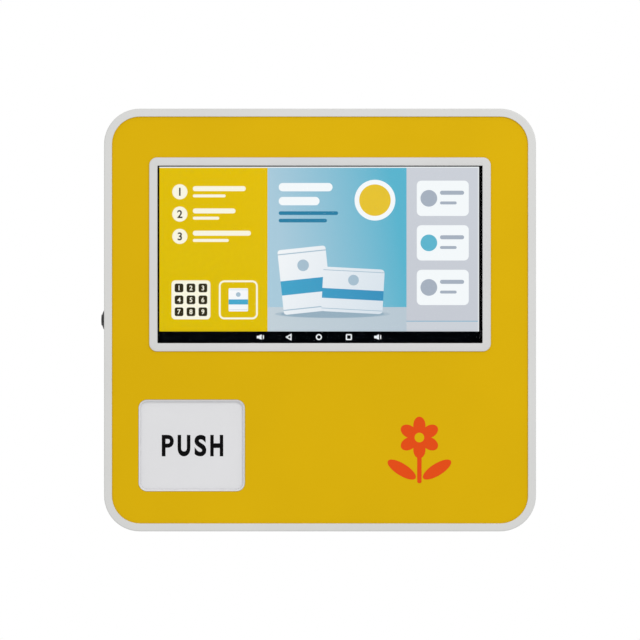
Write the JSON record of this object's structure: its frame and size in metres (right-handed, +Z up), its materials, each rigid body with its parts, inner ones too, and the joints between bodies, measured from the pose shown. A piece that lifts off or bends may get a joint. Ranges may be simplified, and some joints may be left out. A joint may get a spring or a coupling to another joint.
{
  "type": "sanitary napkin vending machine",
  "caption": "Wall-hung vending machine: round-cornered white case, yellow hinged front, landscape screen and a push flap over the delivery bin.",
  "frame": {"origin": "centre of the flat rear face that lies on the wall", "axes": "+Z up, +Y out of the rear face into the wall, +X to the right as seen from the front; the front faces -Y"},
  "size_m": [0.4713, 0.15, 0.4595],
  "materials": {
    "white_paint": "white powder coat, semi-gloss",
    "yellow_panel": "warm yellow, satin",
    "white_plastic": "white moulded plastic, satin gloss",
    "screen_glass": "clear cover glass",
    "display": "display module, black border",
    "black_lock": "black gloss coating",
    "steel": "zinc-plated sheet steel",
    "seal_rubber": "black rubber",
    "black_plastic": "black moulded plastic",
    "nylon": "natural nylon",
    "coupler_metal": "turned aluminium",
    "motor_can": "dark plated motor can",
    "circuit_board": "green circuit board",
    "supply_shell": "perforated aluminium shell"
  },
  "bodies": {
    "root": {"rear_case": "white_paint", "lower_tray": "steel", "upper_tray": "steel", "lower_motor_bracket": "steel", "upper_motor_bracket": "steel", "drop_shaft": "steel", "lock_nut": "steel", "upper_hinge_case_leaf": "steel", "upper_hinge_pin": "steel", "lower_hinge_case_leaf": "steel", "lower_hinge_pin": "steel", "delivery_bin": "white_paint", "lock_body": "black_lock", "door_gasket": "seal_rubber", "supply_lead": "seal_rubber", "power_inlet": "black_plastic", "switch_housing": "black_plastic", "drop_sensor_emitter": "black_plastic", "drop_sensor_receiver": "black_plastic", "loudspeaker": "black_plastic", "lower_bearing_block": "nylon", "upper_bearing_block": "nylon", "lower_gear_motor": "motor_can", "upper_gear_motor": "motor_can", "control_board": "circuit_board", "power_supply": "supply_shell"},
    "door": {"door_frame": "white_paint", "front_panel": "yellow_panel", "screen_bezel": "white_plastic", "screen_glass": "screen_glass", "lcd_panel": "display", "screen_bracket": "steel", "screen_computer": "circuit_board", "flap_frame": "white_plastic", "flap_pin": "steel", "flap_spring": "steel", "lock_keeper": "steel", "upper_hinge_door_leaf": "steel", "lower_hinge_door_leaf": "steel", "bracket_screw_1": "steel", "bracket_screw_2": "steel", "bracket_screw_3": "steel", "bracket_screw_4": "steel"},
    "flap": {"flap": "white_plastic"},
    "lock_turner": {"lock_plug": "steel", "lock_cam": "steel"},
    "lower_pusher": {"lower_pusher": "steel", "lower_pusher_nut": "nylon"},
    "lower_screw": {"lower_lead_screw": "steel", "lower_coupler": "coupler_metal"},
    "upper_pusher": {"upper_pusher": "steel", "upper_pusher_nut": "nylon"},
    "upper_screw": {"upper_lead_screw": "steel", "upper_coupler": "coupler_metal"},
    "rocker": {"switch_rocker": "black_plastic"}
  },
  "joints": [
    {"name": "door_hinge", "type": "hinge", "parent": "root", "child": "door", "pos_m": [0.23, -0.118, 0], "axis": [0, 0, 1], "range_deg": [0, 100]},
    {"name": "flap_hinge", "type": "hinge", "parent": "door", "child": "flap", "pos_m": [-0.1381, -0.138, -0.08625], "axis": [1, 0, 0], "range_deg": [0, 70], "stiffness_Nm_per_rad": 0.02, "springref_deg": -28.65, "deforming": ["flap_spring"]},
    {"name": "lock_turn", "type": "hinge", "parent": "root", "child": "lock_turner", "pos_m": [-0.2325, -0.1, 0], "axis": [-1, 0, 0], "range_deg": [0, 90]},
    {"name": "lower_pusher_slide", "type": "slide", "parent": "root", "child": "lower_pusher", "axis": [-1, 0, 0], "range_m": [0, 0.186]},
    {"name": "lower_screw_turn", "type": "hinge", "parent": "root", "child": "lower_screw", "pos_m": [0, -0.0528, -0.082], "axis": [1, 0, 0], "range_deg": [0, 3360]},
    {"name": "upper_pusher_slide", "type": "slide", "parent": "root", "child": "upper_pusher", "axis": [-1, 0, 0], "range_m": [0, 0.186]},
    {"name": "upper_screw_turn", "type": "hinge", "parent": "root", "child": "upper_screw", "pos_m": [0, -0.0528, 0.064], "axis": [1, 0, 0], "range_deg": [0, 3360]},
    {"name": "power_rocker", "type": "hinge", "parent": "root", "child": "rocker", "pos_m": [-0.026, -0.078, -0.2268], "axis": [1, 0, 0], "range_deg": [0, 18]}
  ],
  "couplings": [
    {"joint": "lower_screw_turn", "follows": "lower_pusher_slide", "rad_per_m": 314.16},
    {"joint": "upper_screw_turn", "follows": "upper_pusher_slide", "rad_per_m": 314.16}
  ]
}
